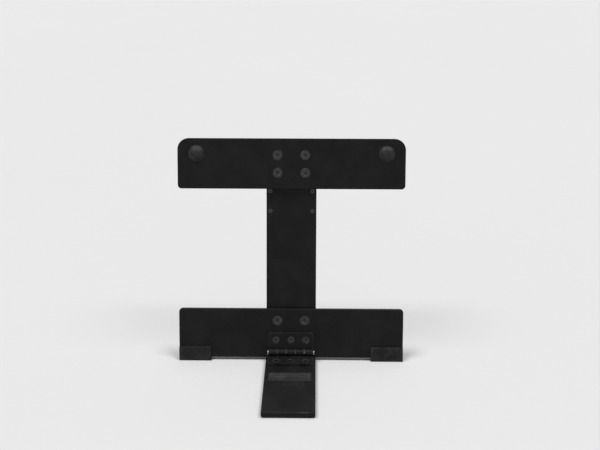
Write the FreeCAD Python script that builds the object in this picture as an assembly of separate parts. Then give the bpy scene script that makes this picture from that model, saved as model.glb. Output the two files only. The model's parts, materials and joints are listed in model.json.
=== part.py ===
import FreeCAD, Part
import math
import os

# Folding plate display stand in black coated flat bar.  X runs to the right, +Y to the back, +Z up.
# It stands in use: the tongue lies on the table, the back leans, the strut props it.
# The origin is on the table, at the middle of the stand's box.

os.makedirs("parts", exist_ok=True)

V = FreeCAD.Vector
X_AXIS = V(1, 0, 0)
Y_AXIS = V(0, 1, 0)
Z_AXIS = V(0, 0, 1)

# ---- flat bar and overall sizes, mm and degrees
BAR_WIDTH = 40.0
BAR_THICK = 4.0
EDGE_ROUND = 0.7
BAR_CORNER = 3.0
TOP_CORNER = 9.0
STAND_WIDTH = 181.0
BACK_HEIGHT = 177.0
BACK_LEAN = 13.5
LEDGE_DEPTH = 39.0
TONGUE_REACH = 50.0
TONGUE_CORNER = 1.2
STRUT_SPREAD = 20.0
STRUT_WIDTH = 0.55 * BAR_WIDTH
STRUT_THICK = 3.0
PIN_BELOW_BAR = 10.0

# ---- clearances
BODY_GAP = 0.3
SOFT_GAP = 0.1
RUNNING_GAP = 0.05
HOLE_GAP = 0.1
THREAD_GAP = 0.05

# ---- screws of the cross bars, and of the hinge leaves
BAR_SCREW_R = 2.0
BAR_HEAD_R = 3.8
BAR_SCREW_X = BAR_WIDTH / 2 - 9
BAR_SCREW_PITCH = 14.0
LEAF_SCREW_R = 1.5
LEAF_HEAD_R = 2.7
HEAD_SINK = 0.1
SOCKET_SHARE = 0.55
SPINE_INSET = 3.0

# ---- tongue hinge
HINGE_WIDTH = 0.9 * BAR_WIDTH
LEAF_SCREW_X = HINGE_WIDTH / 3
HINGE_SEGMENTS = 5
KNUCKLE_R = 3.0
HINGE_PIN_R = 1.25
PEEN_R = 2.1
PEEN_THICK = 0.8
LEAF_THICK = 1.5
LEAF_LENGTH = 16.0
LEAF_CORNER = 2.0
LEAF_SCREW_AT = 10.0

# ---- tongue inlays
PAD_R = 4.5
PAD_RECESS = 0.6
PAD_PROUD = 0.6
PAD_X = BAR_WIDTH / 2 - 7.5
PAD_INSET = 8.5
STRIP_FRONT = 3.0
STRIP_BACK = 9.0
STRIP_SIDE = 3.5
STRIP_RECESS = 1.4
STRIP_PROUD = 0.5
RIM_GROOVE_R = 4.0
RIM_GROOVE_DEPTH = 0.35

# ---- strut, its bracket and its pin
EYE_R = 4.0
STRUT_PIN_R = 1.5
BRACKET_THICK = 2.0
BRACKET_HEIGHT = 26.0
EAR_R = 5.5
WASHER_THICK = 0.5
WASHER_R = 3.6
WASHER_SLACK = 0.2
CLIP_THICK = 0.6
CLIP_R = 3.1
CLIP_GROOVE = 0.3
CLIP_MOUTH = 2.0
PIN_END = 0.8
RIVET_SHARE = 0.43
RIVET_SHANK_SHARE = 0.58
RIVET_HEAD_HEIGHT = 1.2
RIVET_PITCH = 16.0
STRUT_NECK = 14.0
STRUT_FOOT_WIDTH = STRUT_WIDTH + 8
STRUT_FLARE = 34.0

# ---- rubber and silicone pieces
SOLE = 1.5
SHOE_LENGTH = 26.0
SHOE_WALL = 1.3
SHOE_HEIGHT = 9.0
CAP_WALL = 1.5
CAP_HEIGHT = 13.0
BUMPER_R = 6.5
BUMPER_HEIGHT = 3.2
BUMPER_STEM_R = 2.4
BUMPER_BUTTON_R = 4.0
BUMPER_BUTTON = 1.0
BUMPER_SIDE = 15.0
BUMPER_TOP = 12.0

# ---- derived places
LEAN = math.radians(BACK_LEAN)
SPREAD = math.radians(STRUT_SPREAD)
OPENING = LEAN + SPREAD
BACK_Z = SOLE + BAR_THICK * math.sin(LEAN)
TONGUE_Z = PAD_PROUD
HINGE_SEAT = KNUCKLE_R + BODY_GAP
HINGE_Z = TONGUE_Z + BAR_THICK + HINGE_SEAT
HINGE_SLOPE = (HINGE_Z - BACK_Z - HINGE_SEAT * math.sin(LEAN)) / math.cos(LEAN)
HINGE_Y = LEDGE_DEPTH + HINGE_SLOPE * math.sin(LEAN) - HINGE_SEAT * math.cos(LEAN)
TONGUE_BACK = LEDGE_DEPTH - BODY_GAP - THREAD_GAP
SPINE_REAR = 2 * BAR_THICK
BRACKET_FACE = SPINE_REAR + BRACKET_THICK
PIN_HEIGHT = BACK_HEIGHT - BAR_WIDTH - PIN_BELOW_BAR
PIN_DEPTH = BRACKET_FACE + EYE_R + 2 * BODY_GAP
EAR_INNER = STRUT_WIDTH / 2 + WASHER_THICK + 2 * WASHER_SLACK
EAR_OUTER = EAR_INNER + BRACKET_THICK
RIVET_X = (EAR_OUTER + BAR_WIDTH / 2) / 2
RIVET_HEAD_R = RIVET_SHARE * (BAR_WIDTH / 2 - EAR_OUTER)
RIVET_R = RIVET_SHANK_SHARE * RIVET_HEAD_R
CLIP_X = EAR_OUTER + 2 * SOFT_GAP
PIN_HALF = CLIP_X + CLIP_THICK + PIN_END
PIN_Y = LEDGE_DEPTH + PIN_HEIGHT * math.sin(LEAN) + PIN_DEPTH * math.cos(LEAN)
PIN_Z = BACK_Z + PIN_HEIGHT * math.cos(LEAN) - PIN_DEPTH * math.sin(LEAN)
STRUT_LENGTH = (PIN_Z - SOLE) / math.cos(SPREAD) - STRUT_THICK / 2 * math.tan(SPREAD)
HEEL_REACH = PIN_DEPTH - BRACKET_FACE - BODY_GAP
HEEL = (HEEL_REACH - STRUT_THICK / 2 * math.cos(OPENING)) / math.sin(OPENING)


# ---- helpers
def box(x0, x1, y0, y1, z0, z1):
    return Part.makeBox(x1 - x0, y1 - y0, z1 - z0, V(x0, y0, z0))


def rod_x(radius, x0, x1, y=0.0, z=0.0):
    return Part.makeCylinder(radius, x1 - x0, V(x0, y, z), X_AXIS)


def rod_y(radius, y0, y1, x=0.0, z=0.0):
    return Part.makeCylinder(radius, y1 - y0, V(x, y0, z), Y_AXIS)


def edges_along(shape, flat_axis):
    """Edges that lie in planes square to the named axis."""
    length = {"X": "XLength", "Y": "YLength", "Z": "ZLength"}[flat_axis]
    return [e for e in shape.Edges if getattr(e.BoundBox, length) < 1e-5]


def straight_edges(shape, axis):
    """Edges that run along the named axis."""
    others = [length for length in ("XLength", "YLength", "ZLength") if length[0] != axis]
    return [e for e in shape.Edges if all(getattr(e.BoundBox, o) < 1e-5 for o in others)]


def bar(x0, x1, z0, z1, y0, thick, low_corner, high_corner, edge=EDGE_ROUND):
    """Flat bar standing in the XZ plane, its front face at y0, with rounded corners and soft edges."""
    solid = box(x0, x1, y0, y0 + thick, z0, z1)
    for radius, level in ((low_corner, z0), (high_corner, z1)):
        corners = [e for e in straight_edges(solid, "Y") if abs(e.BoundBox.ZMin - level) < 1e-5]
        solid = solid.makeFillet(radius, corners)
    return solid.makeFillet(edge, edges_along(solid, "Y"))


def flat_screw(x, z, face, radius, head_radius, length):
    """Countersunk screw sunk into a face square to Y."""
    top = face + HEAD_SINK
    cone = Part.makeCone(head_radius, radius, head_radius - radius, V(x, top, z), Y_AXIS)
    return cone.fuse(rod_y(radius, top, face + length, x, z))


def flat_hole(x, z, face, radius, head_radius, length):
    """Countersunk hole for the same screw, larger all round by the hole gap."""
    wide = head_radius + HEAD_SINK + HOLE_GAP
    narrow = radius + HOLE_GAP
    cone = Part.makeCone(wide, narrow, wide - narrow, V(x, face, z), Y_AXIS)
    return cone.fuse(rod_y(narrow, face, face + length, x, z))


def socket(x, z, face, radius):
    """Hexagon key socket in the head of a countersunk screw."""
    reach = radius * SOCKET_SHARE * 2
    turn = [math.radians(60 * i) for i in range(7)]
    points = [V(x + reach * math.cos(a), face, z + reach * math.sin(a)) for a in turn]
    return Part.Face(Part.makePolygon(points)).extrude(V(0, radius, 0))


def screw_group(places, face, radius, head_radius, length):
    screws = []
    for x, z in places:
        screw = flat_screw(x, z, face, radius, head_radius, length)
        screws.append(screw.cut(socket(x, z, face, radius)))
    return Part.makeCompound(screws)


def screw_holes(places, face, radius, head_radius, length):
    holes = [flat_hole(x, z, face, radius, head_radius, length) for x, z in places]
    return holes[0].multiFuse(holes[1:])


def lean(shape):
    """Carries a piece of the back from upright at the origin to its place."""
    moved = shape.copy()
    moved.rotate(V(0, 0, 0), X_AXIS, -BACK_LEAN)
    moved.translate(V(0, LEDGE_DEPTH, BACK_Z))
    return moved


def prop(shape):
    """Carries a piece of the strut, built upright with its pin at the origin, to its place."""
    moved = shape.copy()
    moved.rotate(V(0, 0, 0), X_AXIS, STRUT_SPREAD)
    moved.translate(V(0, PIN_Y, PIN_Z))
    return moved


def above_table(shape):
    bounds = shape.BoundBox
    below = box(bounds.XMin - 1, bounds.XMax + 1, bounds.YMin - 1, bounds.YMax + 1, bounds.ZMin - 1, 0)
    return shape.cut(below)


def four_screws(middle):
    half = BAR_SCREW_PITCH / 2
    return [(side * BAR_SCREW_X, middle + step) for side in (-1, 1) for step in (-half, half)]


LOWER_SCREWS_AT = HINGE_SLOPE + LEAF_LENGTH + (BAR_WIDTH - HINGE_SLOPE - LEAF_LENGTH) / 2
LOWER_PLACES = [(side * BAR_SCREW_X, LOWER_SCREWS_AT) for side in (-1, 1)]
UPPER_PLACES = four_screws(BACK_HEIGHT - BAR_WIDTH / 2)
LEAF_PLACES = [(side * LEAF_SCREW_X, HINGE_SLOPE + LEAF_SCREW_AT) for side in (-1, 0, 1)]
RIVET_PLACES = [(sx * RIVET_X, PIN_HEIGHT + sz * RIVET_PITCH / 2) for sx in (-1, 1) for sz in (-1, 1)]
BUMPER_X = STAND_WIDTH / 2 - BUMPER_SIDE
BUMPER_Z = BACK_HEIGHT - BUMPER_TOP
JOINT_SCREW = 2 * BAR_THICK - SOFT_GAP
LEAF_SCREW = LEAF_THICK + BAR_THICK - EDGE_ROUND


# ---- the back: two cross bars on a spine
def lower_bar():
    solid = bar(-STAND_WIDTH / 2, STAND_WIDTH / 2, 0, BAR_WIDTH, 0, BAR_THICK, BAR_CORNER, BAR_CORNER)
    solid = solid.cut(screw_holes(LOWER_PLACES, 0, BAR_SCREW_R, BAR_HEAD_R, JOINT_SCREW))
    for x, z in LEAF_PLACES:
        solid = solid.cut(rod_y(LEAF_SCREW_R + THREAD_GAP, -1, BAR_THICK - EDGE_ROUND + SOFT_GAP, x, z))
    return lean(solid)


def upper_bar():
    low = BACK_HEIGHT - BAR_WIDTH
    solid = bar(-STAND_WIDTH / 2, STAND_WIDTH / 2, low, BACK_HEIGHT, 0, BAR_THICK, BAR_CORNER, TOP_CORNER)
    solid = solid.cut(screw_holes(UPPER_PLACES, 0, BAR_SCREW_R, BAR_HEAD_R, JOINT_SCREW))
    for side in (-1, 1):
        solid = solid.cut(rod_y(BUMPER_STEM_R + SOFT_GAP, -1, BAR_THICK + 1, side * BUMPER_X, BUMPER_Z))
    return lean(solid)


def spine():
    half = BAR_WIDTH / 2
    top = BACK_HEIGHT - SPINE_INSET
    solid = bar(-half, half, SPINE_INSET, top, BAR_THICK, BAR_THICK, BAR_CORNER, BAR_CORNER)
    for x, z in LOWER_PLACES + UPPER_PLACES:
        solid = solid.cut(rod_y(BAR_SCREW_R + THREAD_GAP, BAR_THICK - 1, SPINE_REAR + 1, x, z))
    for x, z in RIVET_PLACES:
        solid = solid.cut(rod_y(RIVET_R + THREAD_GAP, BAR_THICK - 1, SPINE_REAR + 1, x, z))
    return lean(solid)


def lower_bar_screws():
    return lean(screw_group(LOWER_PLACES, 0, BAR_SCREW_R, BAR_HEAD_R, JOINT_SCREW))


def upper_bar_screws():
    return lean(screw_group(UPPER_PLACES, 0, BAR_SCREW_R, BAR_HEAD_R, JOINT_SCREW))


# ---- the tongue hinge
def knuckle_spans(first):
    step = HINGE_WIDTH / HINGE_SEGMENTS
    spans = []
    for i in range(first, HINGE_SEGMENTS, 2):
        start = -HINGE_WIDTH / 2 + i * step
        left = start + (BODY_GAP / 2 if i else 0)
        right = start + step - (BODY_GAP / 2 if i < HINGE_SEGMENTS - 1 else 0)
        spans.append((left, right))
    return spans


def hinge_leaf(first):
    """Leaf standing up from its pin: the pin is on the X axis and the leaf is seated at y = HINGE_SEAT."""
    half = HINGE_WIDTH / 2
    plate = box(-half, half, HINGE_SEAT - LEAF_THICK, HINGE_SEAT, 0, LEAF_LENGTH)
    corners = [e for e in straight_edges(plate, "Y") if e.BoundBox.ZMin > LEAF_LENGTH / 2]
    solid = plate.makeFillet(LEAF_CORNER, corners)
    for left, right in knuckle_spans(1 - first):
        relief = rod_x(KNUCKLE_R + BODY_GAP, left - BODY_GAP, right + BODY_GAP)
        solid = solid.cut(relief)
    for left, right in knuckle_spans(first):
        solid = solid.fuse(rod_x(KNUCKLE_R, left, right))
    solid = solid.cut(rod_x(HINGE_PIN_R + RUNNING_GAP, -half - 1, half + 1))
    places = [(side * LEAF_SCREW_X, LEAF_SCREW_AT) for side in (-1, 0, 1)]
    face = HINGE_SEAT - LEAF_THICK
    solid = solid.cut(screw_holes(places, face, LEAF_SCREW_R, LEAF_HEAD_R, LEAF_SCREW))
    return solid.removeSplitter()


def at_back_hinge(shape):
    moved = shape.copy()
    moved.translate(V(0, -HINGE_SEAT, HINGE_SLOPE))
    return lean(moved)


def at_tongue_hinge(shape):
    """Lays an upright leaf on the tongue: its length turns to the front and its seat turns down."""
    moved = shape.copy()
    moved.rotate(V(0, 0, 0), V(0, 1, -1), 180)
    moved.translate(V(0, HINGE_Y, HINGE_Z))
    return moved


def leaf_screws():
    places = [(side * LEAF_SCREW_X, LEAF_SCREW_AT) for side in (-1, 0, 1)]
    return screw_group(places, HINGE_SEAT - LEAF_THICK, LEAF_SCREW_R, LEAF_HEAD_R, LEAF_SCREW)


def tongue_hinge_pin():
    half = HINGE_WIDTH / 2
    pin = rod_x(HINGE_PIN_R, -half - SOFT_GAP, half + SOFT_GAP)
    for side in (-1, 1):
        outer = side * (half + SOFT_GAP + PEEN_THICK)
        inner = side * (half + SOFT_GAP)
        peen = rod_x(PEEN_R, min(inner, outer), max(inner, outer))
        rim = [e for e in peen.Edges if abs(e.BoundBox.XMin - outer) < 1e-5 and e.BoundBox.XLength < 1e-5]
        pin = pin.fuse(peen.makeFillet(PEEN_THICK * 0.6, rim))
    pin.translate(V(0, HINGE_Y, HINGE_Z))
    return pin


# ---- the tongue and its inlays
def tongue_bar():
    half = BAR_WIDTH / 2
    solid = box(-half, half, -TONGUE_REACH, TONGUE_BACK, TONGUE_Z, TONGUE_Z + BAR_THICK)
    front = [e for e in straight_edges(solid, "Z") if e.BoundBox.YMin < 0]
    solid = solid.makeFillet(TONGUE_CORNER, front)
    return solid.makeFillet(EDGE_ROUND, edges_along(solid, "Z"))


def pad_places():
    ahead = -TONGUE_REACH + PAD_INSET
    behind = TONGUE_BACK - LEAF_LENGTH - PAD_INSET
    return [(side * PAD_X, y) for side in (-1, 1) for y in (ahead, behind)]


def tongue():
    solid = tongue_bar()
    top = TONGUE_Z + BAR_THICK
    side = BAR_WIDTH / 2 - STRIP_SIDE
    solid = solid.cut(box(-side, side, -STRIP_FRONT, STRIP_BACK, top - STRIP_RECESS, top + 1))
    for x, y in pad_places():
        recess = Part.makeCylinder(PAD_R + SOFT_GAP, PAD_RECESS + PAD_PROUD, V(x, y, 0), Z_AXIS)
        solid = solid.cut(recess)
    depth = LEAF_SCREW - LEAF_THICK + SOFT_GAP
    for i in (-1, 0, 1):
        place = V(i * LEAF_SCREW_X, HINGE_Y - LEAF_SCREW_AT, top - depth)
        solid = solid.cut(Part.makeCylinder(LEAF_SCREW_R + THREAD_GAP, depth + 1, place, Z_AXIS))
    return solid


def rim_strip():
    top = TONGUE_Z + BAR_THICK
    side = BAR_WIDTH / 2 - STRIP_SIDE - SOFT_GAP
    solid = box(-side, side, SOFT_GAP - STRIP_FRONT, STRIP_BACK - SOFT_GAP,
                top - STRIP_RECESS + SOFT_GAP, top + STRIP_PROUD)
    upper = [e for e in edges_along(solid, "Z") if e.BoundBox.ZMin > top]
    solid = solid.makeFillet(STRIP_PROUD * 0.8, upper)
    centre = top + STRIP_PROUD + RIM_GROOVE_R - RIM_GROOVE_DEPTH
    return solid.cut(rod_x(RIM_GROOVE_R, -side - 1, side + 1, 0, centre))


def tongue_pads():
    pads = []
    for x, y in pad_places():
        pad = Part.makeCylinder(PAD_R, PAD_RECESS + PAD_PROUD - SOFT_GAP, V(x, y, 0), Z_AXIS)
        pads.append(pad)
    return Part.makeCompound(pads)


# ---- the strut and what carries it
def strut_bracket():
    half = BAR_WIDTH / 2
    low = PIN_HEIGHT - BRACKET_HEIGHT / 2
    solid = bar(-half, half, low, low + BRACKET_HEIGHT, SPINE_REAR, BRACKET_THICK, BAR_CORNER,
                BAR_CORNER, BRACKET_THICK / 8)
    for side in (-1, 1):
        x0 = min(side * EAR_INNER, side * EAR_OUTER)
        x1 = max(side * EAR_INNER, side * EAR_OUTER)
        foot = box(x0, x1, BRACKET_FACE - BRACKET_THICK / 2, PIN_DEPTH, PIN_HEIGHT - EAR_R, PIN_HEIGHT + EAR_R)
        solid = solid.fuse(foot).fuse(rod_x(EAR_R, x0, x1, PIN_DEPTH, PIN_HEIGHT))
    reach = EAR_OUTER + 1
    solid = solid.cut(rod_x(STRUT_PIN_R + RUNNING_GAP, -reach, reach, PIN_DEPTH, PIN_HEIGHT))
    for x, z in RIVET_PLACES:
        solid = solid.cut(rod_y(RIVET_R + THREAD_GAP, SPINE_REAR - 1, BRACKET_FACE + 1, x, z))
    return lean(solid.removeSplitter())


def bracket_rivets():
    rivets = []
    for x, z in RIVET_PLACES:
        shank = rod_y(RIVET_R, BAR_THICK + SOFT_GAP, BRACKET_FACE + RIVET_HEAD_HEIGHT / 2, x, z)
        head = rod_y(RIVET_HEAD_R, BRACKET_FACE, BRACKET_FACE + RIVET_HEAD_HEIGHT, x, z)
        outer = BRACKET_FACE + RIVET_HEAD_HEIGHT
        rim = [e for e in head.Edges if e.BoundBox.YMin > outer - 1e-5]
        rivets.append(head.makeFillet(RIVET_HEAD_HEIGHT * 0.8, rim).fuse(shank))
    return lean(Part.makeCompound(rivets))


def strut_pin():
    pin = rod_x(STRUT_PIN_R, -PIN_HALF, PIN_HALF, PIN_DEPTH, PIN_HEIGHT)
    for side in (-1, 1):
        near = min(side * CLIP_X, side * (CLIP_X + CLIP_THICK)) - SOFT_GAP / 2
        far = near + CLIP_THICK + SOFT_GAP
        ring = rod_x(STRUT_PIN_R + 1, near, far, PIN_DEPTH, PIN_HEIGHT)
        core = rod_x(STRUT_PIN_R - CLIP_GROOVE, near, far, PIN_DEPTH, PIN_HEIGHT)
        pin = pin.cut(ring.cut(core))
    return lean(pin)


def strut_pin_clips():
    clips = []
    for side in (-1, 1):
        near = min(side * CLIP_X, side * (CLIP_X + CLIP_THICK))
        far = near + CLIP_THICK
        disc = rod_x(CLIP_R, near, far, PIN_DEPTH, PIN_HEIGHT)
        hole = rod_x(STRUT_PIN_R - CLIP_GROOVE + RUNNING_GAP, near - 1, far + 1, PIN_DEPTH, PIN_HEIGHT)
        mouth = box(near - 1, far + 1, PIN_DEPTH, PIN_DEPTH + CLIP_R + 1,
                    PIN_HEIGHT - CLIP_MOUTH / 2, PIN_HEIGHT + CLIP_MOUTH / 2)
        clips.append(disc.cut(hole).cut(mouth))
    return lean(Part.makeCompound(clips))


def strut_washers():
    washers = []
    for side in (-1, 1):
        inner = side * (STRUT_WIDTH / 2 + WASHER_SLACK)
        outer = side * (STRUT_WIDTH / 2 + WASHER_SLACK + WASHER_THICK)
        ring = rod_x(WASHER_R, min(inner, outer), max(inner, outer), PIN_DEPTH, PIN_HEIGHT)
        hole = rod_x(STRUT_PIN_R + HOLE_GAP, -EAR_OUTER, EAR_OUTER, PIN_DEPTH, PIN_HEIGHT)
        washers.append(ring.cut(hole))
    return lean(Part.makeCompound(washers))


def strut():
    half = STRUT_WIDTH / 2
    wide = STRUT_FOOT_WIDTH / 2
    flare = -STRUT_LENGTH + STRUT_FLARE
    rear = -STRUT_THICK / 2
    outline = [V(-half, rear, HEEL), V(half, rear, HEEL), V(half, rear, flare), V(wide, rear, flare - STRUT_NECK),
               V(wide, rear, -STRUT_LENGTH), V(-wide, rear, -STRUT_LENGTH),
               V(-wide, rear, flare - STRUT_NECK), V(-half, rear, flare)]
    blade = Part.Face(Part.makePolygon(outline + outline[:1])).extrude(V(0, STRUT_THICK, 0))
    eye = rod_x(EYE_R, -half, half)
    solid = blade.makeFillet(EDGE_ROUND, edges_along(blade, "Y"))
    solid = solid.fuse(eye).cut(rod_x(STRUT_PIN_R + RUNNING_GAP, -half - 1, half + 1))
    return prop(solid)


def strut_foot_cap():
    side = STRUT_FOOT_WIDTH / 2
    front = STRUT_THICK / 2
    low = -STRUT_LENGTH
    outer = box(-side - CAP_WALL, side + CAP_WALL, -front - CAP_WALL, front + CAP_WALL, low - 3 * SOLE, low + CAP_HEIGHT)
    outer = outer.makeFillet(CAP_WALL * 0.6, straight_edges(outer, "Z"))
    pocket = box(-side - SOFT_GAP, side + SOFT_GAP, -front - SOFT_GAP, front + SOFT_GAP, low - SOFT_GAP,
                 low + CAP_HEIGHT + 1)
    return above_table(prop(outer.cut(pocket)))


# ---- soft pieces of the back
def foot_shoe(side):
    inner = side * (STAND_WIDTH / 2 - SHOE_LENGTH)
    outer = side * (STAND_WIDTH / 2)
    x0 = min(inner, outer)
    x1 = max(inner, outer)
    block = box(x0, x1, -SHOE_WALL - SOFT_GAP, BAR_THICK + SOFT_GAP + SHOE_WALL, -3 * SOLE, SHOE_HEIGHT)
    block = block.makeFillet(SHOE_WALL * 0.6, [e for e in straight_edges(block, "X") if e.BoundBox.ZMin > 0])
    slot = box(x0 - 1, x1 + 1, -SOFT_GAP, BAR_THICK + SOFT_GAP, -SOFT_GAP, SHOE_HEIGHT + 1)
    return above_table(lean(block.cut(slot)))


def top_bumper(side):
    x = side * BUMPER_X
    sphere_r = (BUMPER_R ** 2 + BUMPER_HEIGHT ** 2) / (2 * BUMPER_HEIGHT)
    ball = Part.makeSphere(sphere_r, V(x, sphere_r - BUMPER_HEIGHT - SOFT_GAP, BUMPER_Z))
    keep = box(x - sphere_r, x + sphere_r, -BUMPER_HEIGHT - 1, -SOFT_GAP, BUMPER_Z - sphere_r, BUMPER_Z + sphere_r)
    dome = ball.common(keep)
    stem = rod_y(BUMPER_STEM_R, -SOFT_GAP - RUNNING_GAP, BAR_THICK + SOFT_GAP + BUMPER_BUTTON / 2, x, BUMPER_Z)
    rear = BAR_THICK + SOFT_GAP
    button = rod_y(BUMPER_BUTTON_R, rear, rear + BUMPER_BUTTON, x, BUMPER_Z)
    rim = [e for e in button.Edges if e.BoundBox.YMin > rear + BUMPER_BUTTON - 1e-5]
    button = button.makeFillet(BUMPER_BUTTON * 0.6, rim)
    return lean(dome.fuse(stem).fuse(button))


NODES = {
    "lower_bar": lower_bar(),
    "upper_bar": upper_bar(),
    "spine": spine(),
    "lower_bar_screws": lower_bar_screws(),
    "upper_bar_screws": upper_bar_screws(),
    "back_hinge_leaf": at_back_hinge(hinge_leaf(0)),
    "back_leaf_screws": at_back_hinge(leaf_screws()),
    "tongue_hinge_pin": tongue_hinge_pin(),
    "strut_bracket": strut_bracket(),
    "bracket_rivets": bracket_rivets(),
    "strut_pin": strut_pin(),
    "strut_pin_clips": strut_pin_clips(),
    "strut_washers": strut_washers(),
    "left_top_bumper": top_bumper(-1),
    "right_top_bumper": top_bumper(1),
    "left_foot_shoe": foot_shoe(-1),
    "right_foot_shoe": foot_shoe(1),
    "tongue": tongue(),
    "tongue_hinge_leaf": at_tongue_hinge(hinge_leaf(1)),
    "tongue_leaf_screws": at_tongue_hinge(leaf_screws()),
    "rim_strip": rim_strip(),
    "tongue_pads": tongue_pads(),
    "strut": strut(),
    "strut_foot_cap": strut_foot_cap(),
}

EXTENT = Part.makeCompound(list(NODES.values())).optimalBoundingBox(False)
CENTRE_Y = (EXTENT.YMin + EXTENT.YMax) / 2

for name, shape in NODES.items():
    shape.translate(V(0, -CENTRE_Y, 0))
    shape.exportStep("parts/" + name + ".step")

print("tongue hinge at y %.4f z %.4f" % (HINGE_Y - CENTRE_Y, HINGE_Z))
print("strut hinge at y %.4f z %.4f" % (PIN_Y - CENTRE_Y, PIN_Z))
print("rim line at y %.4f, box %.2f x %.2f x %.2f" % (-CENTRE_Y, EXTENT.XLength, EXTENT.YLength, EXTENT.ZMax))
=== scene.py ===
import json
import math

import bmesh
import bpy
from mathutils import Matrix, Vector


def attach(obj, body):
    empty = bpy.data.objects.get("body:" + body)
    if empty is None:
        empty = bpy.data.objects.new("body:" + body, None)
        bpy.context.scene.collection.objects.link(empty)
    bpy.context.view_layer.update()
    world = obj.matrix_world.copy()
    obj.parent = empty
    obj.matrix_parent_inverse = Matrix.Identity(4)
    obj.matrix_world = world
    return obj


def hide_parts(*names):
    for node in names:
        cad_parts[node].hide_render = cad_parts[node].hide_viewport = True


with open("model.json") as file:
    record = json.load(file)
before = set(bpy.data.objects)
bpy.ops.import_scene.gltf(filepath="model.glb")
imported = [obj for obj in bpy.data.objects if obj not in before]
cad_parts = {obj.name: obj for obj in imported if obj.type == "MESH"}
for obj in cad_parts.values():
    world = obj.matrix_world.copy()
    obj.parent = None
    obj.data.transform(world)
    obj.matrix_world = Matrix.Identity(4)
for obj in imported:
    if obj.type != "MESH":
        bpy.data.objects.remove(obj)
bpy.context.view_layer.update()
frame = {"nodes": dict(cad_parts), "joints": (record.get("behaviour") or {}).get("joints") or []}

# Folding plate display stand: coated flat bar, pressed hinge leaves, rubber and silicone pieces.
# Pieces are shaped in millimetres in the frame of the part that carries them, then put in place.

MM = 0.001
NODES = frame["nodes"]
JOINTS = {joint["name"]: joint for joint in frame["joints"]}

# ---- places of the leaning back, the propped strut and the flat tongue
UPRIGHT = 90
LEAN = math.radians(JOINTS["tongue_fold"]["range_deg"][1] - UPRIGHT)
SPREAD = math.radians(JOINTS["strut_fold"]["range_deg"][1]) - LEAN
BACK_FOOT = Vector((0, -1.3145, 2.4338)) * MM
HINGE_Y = JOINTS["tongue_fold"]["pos_m"][1] / MM
STRUT_PIN = Vector(JOINTS["strut_fold"]["pos_m"])
BACK_PLACE = Matrix.Translation(BACK_FOOT) @ Matrix.Rotation(-LEAN, 4, "X") @ Matrix.Scale(MM, 4)
STRUT_PLACE = Matrix.Translation(STRUT_PIN) @ Matrix.Rotation(SPREAD, 4, "X") @ Matrix.Scale(MM, 4)
TABLE_PLACE = Matrix.Scale(MM, 4)

# ---- sizes of the bars and leaves that the remade pieces sit on, in mm
BAR_THICK = 4.0
BAR_WIDTH = 40.0
HALF_WIDTH = 90.5
BACK_HEIGHT = 177.0
TONGUE_TOP = 4.6
TONGUE_REACH = 50.0     # from the rim line to the nose
RIM_LINE = -40.3145     # where the plate's rim rests, along Y
HINGE_SLOPE = 4.829     # hinge pin's height, up the slope of the back
LEAF_THICK = 1.5
LEAF_LENGTH = 16.0
LEAF_SCREW_AT = 10.0    # from the hinge pin
FIT_GAP = 0.1           # between a soft piece and the bar it holds

# ---- fasteners, in mm: sizes, counts across and steps across and up
BAR_SCREW = {"radius": 2.0, "head_radius": 3.8, "length": 7.9}
BAR_SCREW_ACROSS = 2
BAR_SCREW_STEPS = (22.0, 14.0)
LEAF_SCREW = {"radius": 1.5, "head_radius": 2.7, "length": 4.8}
LEAF_SCREW_ACROSS = 3
LEAF_SCREW_STEP = 12.0
BRACKET_RIVET = {"radius": 1.52, "head_radius": 2.62, "height": 1.2, "length": 5.9}
RIVET_STEPS = (33.9, 16.0)
BRACKET_FACE = 10.0     # behind the front of the bars
PIN_BELOW_BAR = 10.0    # from the upper bar's lower edge down to the strut's pin
SOCKET_TURN = (0.0, math.pi / 3, 0.0)
SCREW_SEEDS = {"lower_bar_screws": 3, "upper_bar_screws": 5,
               "back_leaf_screws": 11, "tongue_leaf_screws": 17}

# ---- how finely round shapes and rounded edges are drawn
SCREW_TURNS = 36
RIVET_TURNS = 32
BUMPER_TURNS = 48
PAD_TURNS = 40
CORNER_STEPS = 6
EDGE_STEPS = 2
CREASE = math.radians(35)
MERGE = 1e-6


# ---------------------------------------------------------------- shader nodes
# Places of the colour sockets of a Mix node, which has several of each name.
MIX_FACTOR = 0
MIX_UNDER = 6
MIX_OVER = 7
MIX_RESULT = 2


def add(tree, kind, values=None, **settings):
    """Adds a node, sets its options and its unlinked inputs."""
    node = tree.nodes.new(kind)
    for option, value in settings.items():
        setattr(node, option, value)
    for socket, value in (values or {}).items():
        node.inputs[socket].default_value = value
    return node


def feed(tree, value, socket):
    """Gives a socket another node's output, or a plain number."""
    if isinstance(value, (int, float)):
        socket.default_value = value
    else:
        tree.links.new(value, socket)


def maths(tree, operation, a, b, clamp=False):
    node = add(tree, "ShaderNodeMath", operation=operation, use_clamp=clamp)
    feed(tree, a, node.inputs[0])
    feed(tree, b, node.inputs[1])
    return node.outputs[0]


def spread(tree, value, low, high, to_low=0.0, to_high=1.0):
    """Maps low..high to 0..1 or to the given range, and holds it there outside."""
    ends = {"From Min": low, "From Max": high, "To Min": to_low, "To Max": to_high}
    node = add(tree, "ShaderNodeMapRange", ends)
    tree.links.new(value, node.inputs["Value"])
    return node.outputs["Result"]


def levels(tree, mask, low, high):
    """Turns a mask into values from low, where it is 0, to high, where it is 1."""
    return spread(tree, mask, 0.0, 1.0, low, high)


def noise(tree, place, scale, detail, rough=0.5):
    node = add(tree, "ShaderNodeTexNoise", {"Detail": detail, "Roughness": rough})
    tree.links.new(place, node.inputs["Vector"])
    feed(tree, scale, node.inputs["Scale"])
    return node.outputs["Fac"]


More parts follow.
